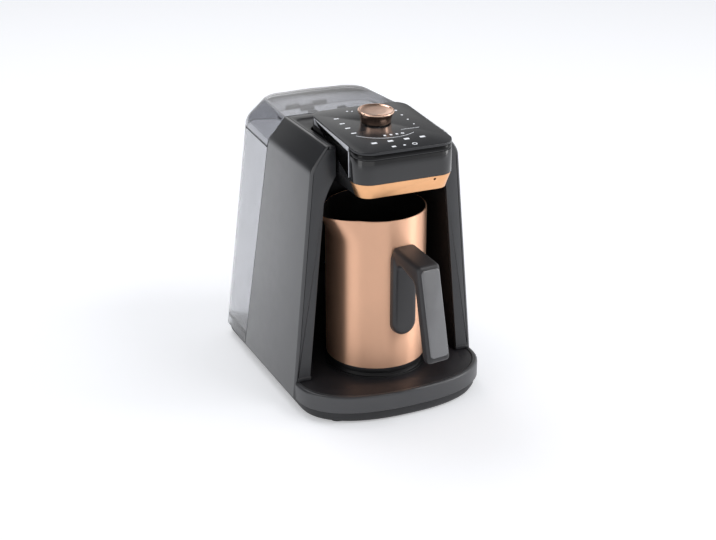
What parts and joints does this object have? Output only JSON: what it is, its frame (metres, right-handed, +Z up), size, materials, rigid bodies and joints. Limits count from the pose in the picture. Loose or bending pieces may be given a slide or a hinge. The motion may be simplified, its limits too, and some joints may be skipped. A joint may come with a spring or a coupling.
{
  "type": "electric turkish coffee maker",
  "caption": "Electric turkish coffee maker with a copper pot on a hot plate, a tilted touch panel with a turning knob, and a lift-off water tank with a hinged lid.",
  "frame": {"origin": "centre of the bounding box, on the table", "axes": "+Z up, -Y towards the front where the pot comes out, +X to the right seen from the front"},
  "size_m": [0.175, 0.2678, 0.2557],
  "materials": {
    "panel_grey": "satin",
    "frame_grey": "satin",
    "bay_black": "matte",
    "deck_grey": "fine texture",
    "pan_black": "matte",
    "mat_black": "semi-gloss",
    "rubber_black": "matte",
    "seal_red": "matte silicone",
    "screw_steel": "zinc plated",
    "spring_steel": "drawn wire",
    "plate_grey": "satin non-stick coat",
    "bracket_steel": "bare sheet",
    "element_metal": "matte oxide",
    "ceramic": "satin",
    "sensor_metal": "turned",
    "head_black": "gloss",
    "head_copper": "satin metallic",
    "strip_silver": "satin metallic",
    "panel_glass": "polished",
    "mark_white": "printed",
    "white_plastic": "matte",
    "board_green": "solder mask",
    "component_dark": "moulded",
    "encoder_metal": "stamped",
    "pump_cream": "moulded",
    "hose_clear": "silicone",
    "coupling_black": "moulded",
    "cable_grey": "ribbon",
    "wire_tan": "glass sleeve",
    "tank_clear": "translucent grey",
    "lid_smoke": "smoked",
    "handle_frost": "frosted",
    "pot_copper": "satin copper",
    "pot_black": "matte",
    "handle_charcoal": "matte",
    "insert_grey": "gloss",
    "knob_copper": "polished rose gold"
  },
  "bodies": {
    "housing": {"base_pan": "pan_black", "rubber_feet": "rubber_black", "housing_screws": "screw_steel", "front_tray": "frame_grey", "tray_mat": "mat_black", "heating_plate": "plate_grey", "plate_gasket": "seal_red", "heating_element": "element_metal", "plate_bracket": "bracket_steel", "plate_nuts": "screw_steel", "sensor_holder": "ceramic", "thermal_fuse": "ceramic", "side_panel_left": "panel_grey", "side_panel_right": "panel_grey", "front_frame": "frame_grey", "bay_liner": "bay_black", "top_deck": "deck_grey", "back_shell": "bay_black", "head_shell": "head_black", "head_fascia": "head_black", "head_trim": "head_copper", "head_underside": "bay_black", "head_strips": "strip_silver", "touch_panel": "panel_glass", "panel_marks": "mark_white", "light_guide": "white_plastic", "display_board": "board_green", "encoder": "encoder_metal", "water_nozzle": "white_plastic", "foam_sensor": "component_dark", "pump": "pump_cream", "pump_mounts": "rubber_black", "flow_meter": "white_plastic", "supply_hoses": "hose_clear", "riser_hose": "hose_clear", "tank_coupling": "coupling_black", "coupling_seal": "seal_red", "main_board": "board_green", "power_parts": "component_dark", "ribbon_cable": "cable_grey", "heater_wires": "wire_tan", "cord_gland": "rubber_black", "sensor_spring": "spring_steel"},
    "tank": {"tank_body": "tank_clear", "tank_handle": "handle_frost", "tank_filter": "white_plastic", "lid_hinge_pin": "screw_steel", "valve_spring": "spring_steel"},
    "lid": {"tank_lid": "lid_smoke"},
    "valve": {"tank_valve": "white_plastic", "valve_seal": "seal_red"},
    "pot": {"pot_body": "pot_copper", "pot_base": "pot_black", "pot_handle": "handle_charcoal", "handle_insert": "insert_grey", "handle_screws": "screw_steel"},
    "knob": {"knob_cap": "knob_copper", "knob_core": "head_black", "knob_shaft": "screw_steel"},
    "sensor": {"pot_sensor": "sensor_metal"}
  },
  "joints": [
    {"name": "knob_spin", "type": "hinge", "parent": "housing", "child": "knob", "pos_m": [0, -0.0305, 0.24382], "axis": [0, -0.0684, 0.9977], "continuous": true},
    {"name": "pot_slide", "type": "slide", "parent": "housing", "child": "pot", "axis": [0, -0.9781, 0.2079], "range_m": [0, 0.2]},
    {"name": "tank_lift", "type": "slide", "parent": "housing", "child": "tank", "axis": [0, 0, 1], "range_m": [0, 0.25]},
    {"name": "lid_hinge", "type": "hinge", "parent": "tank", "child": "lid", "pos_m": [0, 0.13102, 0.2085], "axis": [-1, 0, 0], "range_deg": [0, 100]},
    {"name": "valve_lift", "type": "slide", "parent": "tank", "child": "valve", "axis": [0, 0, 1], "range_m": [0, 0.0025], "stiffness_N_per_m": 100, "springref_m": -0.005, "deforming": ["valve_spring"]},
    {"name": "sensor_press", "type": "slide", "parent": "housing", "child": "sensor", "axis": [0, 0, 1], "range_m": [-0.0008, 0], "stiffness_N_per_m": 200, "springref_m": 0.004, "deforming": ["sensor_spring"]}
  ]
}
